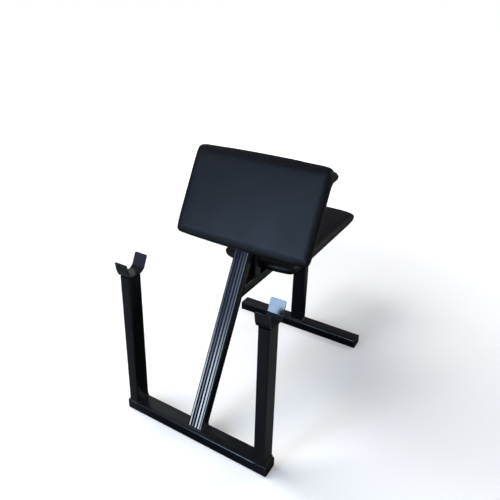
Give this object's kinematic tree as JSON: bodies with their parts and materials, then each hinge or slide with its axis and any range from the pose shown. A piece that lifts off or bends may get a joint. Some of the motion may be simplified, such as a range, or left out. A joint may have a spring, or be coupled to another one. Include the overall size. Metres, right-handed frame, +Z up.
{
  "type": "preacher bench",
  "caption": "Free-standing preacher bench: welded tube frame with bar cradles on uprights, a sloping padded arm rest on a leaning post and a long padded seat.",
  "frame": {"origin": "middle of the footprint, on the floor", "axes": "+Z up; -Y is the front, with the bar cradles, and the person on the seat faces it; +X is on the right of someone who looks at the front from outside"},
  "size_m": [0.6, 1.083, 0.9486],
  "materials": {
    "powder_coat": "semi-gloss black powder coat",
    "cap_plastic": "fine moulded texture",
    "vinyl": "satin black coated fabric with a fine leather grain",
    "plywood": "bare birch plywood",
    "zinc": "bright zinc plate",
    "decal_film": "dark blue film with lengthwise silver stripes"
  },
  "bodies": {
    "root": {"front_base_tube": "powder_coat", "rear_base_tube": "powder_coat", "front_left_end_cap": "cap_plastic", "front_right_end_cap": "cap_plastic", "rear_left_end_cap": "cap_plastic", "rear_right_end_cap": "cap_plastic", "left_upright": "powder_coat", "right_upright": "powder_coat", "left_bar_cradle": "powder_coat", "right_bar_cradle": "powder_coat", "center_post": "powder_coat", "post_top_cap": "cap_plastic", "post_decal": "decal_film", "seat_beam": "powder_coat", "beam_end_cap": "cap_plastic", "pad_strut": "powder_coat", "rear_post": "powder_coat", "seat_front_bar": "powder_coat", "seat_rear_bar": "powder_coat", "seat_board": "plywood", "seat_cushion": "vinyl", "seat_bolt_1": "zinc", "seat_bolt_2": "zinc", "seat_bolt_3": "zinc", "seat_bolt_4": "zinc", "seat_washer_1": "zinc", "seat_washer_2": "zinc", "seat_washer_3": "zinc", "seat_washer_4": "zinc", "seat_tee_nut_1": "zinc", "seat_tee_nut_2": "zinc", "seat_tee_nut_3": "zinc", "seat_tee_nut_4": "zinc", "arm_pad_lower_bar": "powder_coat", "arm_pad_upper_bar": "powder_coat", "arm_pad_board": "plywood", "arm_pad_cushion": "vinyl", "arm_pad_bolt_1": "zinc", "arm_pad_bolt_2": "zinc", "arm_pad_bolt_3": "zinc", "arm_pad_bolt_4": "zinc", "arm_pad_washer_1": "zinc", "arm_pad_washer_2": "zinc", "arm_pad_washer_3": "zinc", "arm_pad_washer_4": "zinc", "arm_pad_tee_nut_1": "zinc", "arm_pad_tee_nut_2": "zinc", "arm_pad_tee_nut_3": "zinc", "arm_pad_tee_nut_4": "zinc"}
  },
  "joints": []
}
